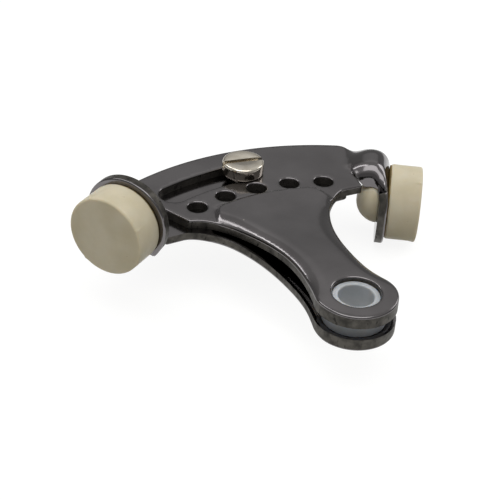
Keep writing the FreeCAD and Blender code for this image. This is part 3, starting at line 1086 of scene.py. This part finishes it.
@dataclass
class Studio:
    """White sweep, soft lights and the camera at the photograph's view. The floor's half is in metres."""

    floor_level: float
    floor_half: float = 2.0
    aim: tuple[float, float, float] = (0.0, 40.0, 0.0)
    lens: float = 93.339
    sensor: float = 36.0
    camera_place: tuple[float, float, float] = (-126.95, -192.15, 168.83)
    forward: tuple[float, float, float] = (0.38270, 0.73423, -0.56077)
    camera_up: tuple[float, float, float] = (0.1997, 0.5269, 0.8262)

    def camera(self) -> None:
        """Sets the camera, fitted to the round features of the photograph."""
        data = bpy.data.cameras.new("photo_camera")
        data.lens, data.sensor_width = self.lens, self.sensor
        data.clip_start, data.clip_end = 0.01, 10.0
        camera = bpy.data.objects.new("photo_camera", data)
        back = -Vector(self.forward).normalized()
        right = Vector(self.camera_up).cross(back).normalized()
        up = back.cross(right)
        turn = Matrix((right, up, back)).transposed().to_4x4()
        camera.matrix_world = Matrix.Translation(Vector(self.camera_place) * MM) @ turn
        bpy.context.scene.collection.objects.link(camera)
        bpy.context.scene.camera = camera

    def floor(self) -> None:
        """Lays the white floor just under the lowest piece."""
        mesh = bpy.data.meshes.new("floor")
        half = self.floor_half
        corners = [(-half, -half, 0), (half, -half, 0), (half, half, 0), (-half, half, 0)]
        mesh.from_pydata(corners, [], [(0, 1, 2, 3)])
        floor = bpy.data.objects.new("floor", mesh)
        floor.location.z = self.floor_level * MM
        material = bpy.data.materials.new("white_paper_sweep")
        material.use_nodes = True
        tree = material.node_tree
        tree.nodes.clear()
        paper, soft = [
            add_node(tree, "ShaderNodeBsdfDiffuse", inputs={"Color": linear(code)}).outputs["BSDF"]
            for code in ("#B9B8B5", "#7A7A78")
        ]
        glow = add_node(
            tree, "ShaderNodeEmission", inputs={"Color": (1, 1, 1, 1), "Strength": 0.88}
        ).outputs["Emission"]
        white = add_node(tree, "ShaderNodeAddShader", {0: soft, 1: glow}).outputs["Shader"]
        path = add_node(tree, "ShaderNodeLightPath").outputs
        seen = path["Is Camera Ray"]
        for ray in ("Is Glossy Ray", "Is Transmission Ray"):
            seen = add_node(
                tree, "ShaderNodeMath", {0: seen, 1: path[ray]}, operation="MAXIMUM"
            ).outputs["Value"]
        both = add_node(tree, "ShaderNodeMixShader", {0: seen, 1: paper, 2: white}).outputs["Shader"]
        add_node(tree, "ShaderNodeOutputMaterial", {"Surface": both})
        mesh.materials.append(material)
        bpy.context.scene.collection.objects.link(floor)

    def world(self) -> None:
        """Gives the plain pale room that the metal reflects, brighter overhead than along its walls."""
        world = bpy.data.worlds.new("white_room")
        world.use_nodes = True
        tree = world.node_tree
        tree.nodes.clear()
        place = add_node(tree, "ShaderNodeTexCoord").outputs["Generated"]
        height = add_node(tree, "ShaderNodeSeparateXYZ", {"Vector": place}).outputs["Z"]
        level = add_node(
            tree, "ShaderNodeMapRange", {"Value": height},
            {"From Min": 0.42, "From Max": 0.74, "To Min": 0.3, "To Max": 0.64},
            interpolation_type="SMOOTHSTEP",
        ).outputs["Result"]
        room = add_node(
            tree, "ShaderNodeBackground", {"Strength": level}, {"Color": linear("#F2F2F0")}
        ).outputs["Background"]
        add_node(tree, "ShaderNodeOutputWorld", {"Surface": room})
        bpy.context.scene.world = world

    def lamp(self, name: str, place: Sequence[float], size: tuple[float, float], power: float) -> None:
        """Hangs one soft light that looks at the stop.

        Args:
            name: The light's name.
            place: Where it hangs, in mm.
            size: Width and height in mm.
            power: Power in watts.
        """
        data = bpy.data.lights.new(name, "AREA")
        data.shape, data.size, data.size_y = "RECTANGLE", size[0] * MM, size[1] * MM
        data.energy = power
        lamp = bpy.data.objects.new(name, data)
        spot = Vector(place) * MM
        aim = Vector(self.aim) * MM - spot
        lamp.matrix_world = Matrix.Translation(spot) @ aim.to_track_quat("-Z", "Y").to_matrix().to_4x4()
        bpy.context.scene.collection.objects.link(lamp)

    def build(self) -> None:
        """Sets the whole stage."""
        self.world()
        self.floor()
        self.lamp("top_softbox", (-60, -60, 430), (420, 340), 0.85)
        # The back light stands where level metal mirrors it, and the strip where the left shoulder does.
        self.lamp("back_softbox", (260, 420, 330), (420, 260), 0.07)
        self.lamp("strip_softbox", (-122, 263, 328), (56, 300), 0.22)
        self.lamp("side_softbox", (330, 90, 200), (120, 200), 0.2)
        self.camera()
        bpy.context.scene.view_settings.view_transform = "Standard"


def dress(piece: bpy.types.Object, node: str, body: str) -> None:
    """Puts a piece in place of a node.

    Args:
        piece: The dressed piece.
        node: The node that it stands for.
        body: The body that it moves with.
    """
    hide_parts(node)
    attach(piece, body)
    LOG.info("%s stands for %s on %s: %d faces", piece.name, node, body, len(piece.data.polygons))


def main() -> None:
    """Builds the pieces in order, then the stage."""
    logging.basicConfig(level=logging.INFO, format="%(message)s")
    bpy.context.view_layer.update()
    form = PlateForm()
    metal, edge = BLACK_NICKEL.build(), SHEARED_EDGE.build()
    nickel, rubber, nylon = BRIGHT_NICKEL.build(), CREAM_RUBBER.build(), NATURAL_NYLON.build()
    upper = StampedPlate(form, metal, edge)
    dress(upper.build("upper_plate_sheet", turned=False), "upper_plate", "upper")
    # The lower plate's free end stands further out, and the near end of its slot stays covered.
    lower = StampedPlate(replace(form, sector_half_angle=30.5, slot_end=-3.0), metal, edge)
    dress(lower.build("lower_plate_sheet", turned=True), "lower_plate", "lower")
    bumper = RubberBumper(form, rubber, RIM_SHADE_RUBBER.build())
    dress(bumper.build("right_rubber", Side.RIGHT), "right_bumper", "upper")
    dress(bumper.build("left_rubber", Side.LEFT), "left_bumper", "lower")
    dress(NylonBush(form, nylon).build("bush_nylon"), "hinge_bush", "bush")
    dress(ClampScrew(form, nickel).build("screw_nickel"), "clamp_screw", "screw")
    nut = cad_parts["clamp_nut"]
    nut.data.materials.clear()
    nut.data.materials.append(nickel)
    LOG.info("clamp_nut keeps its solid, in bright nickel")
    Studio(floor_level=-(form.disc_drop + form.disc_radius + FLOOR_GAP)).build()


if __name__ == "__main__":
    main()
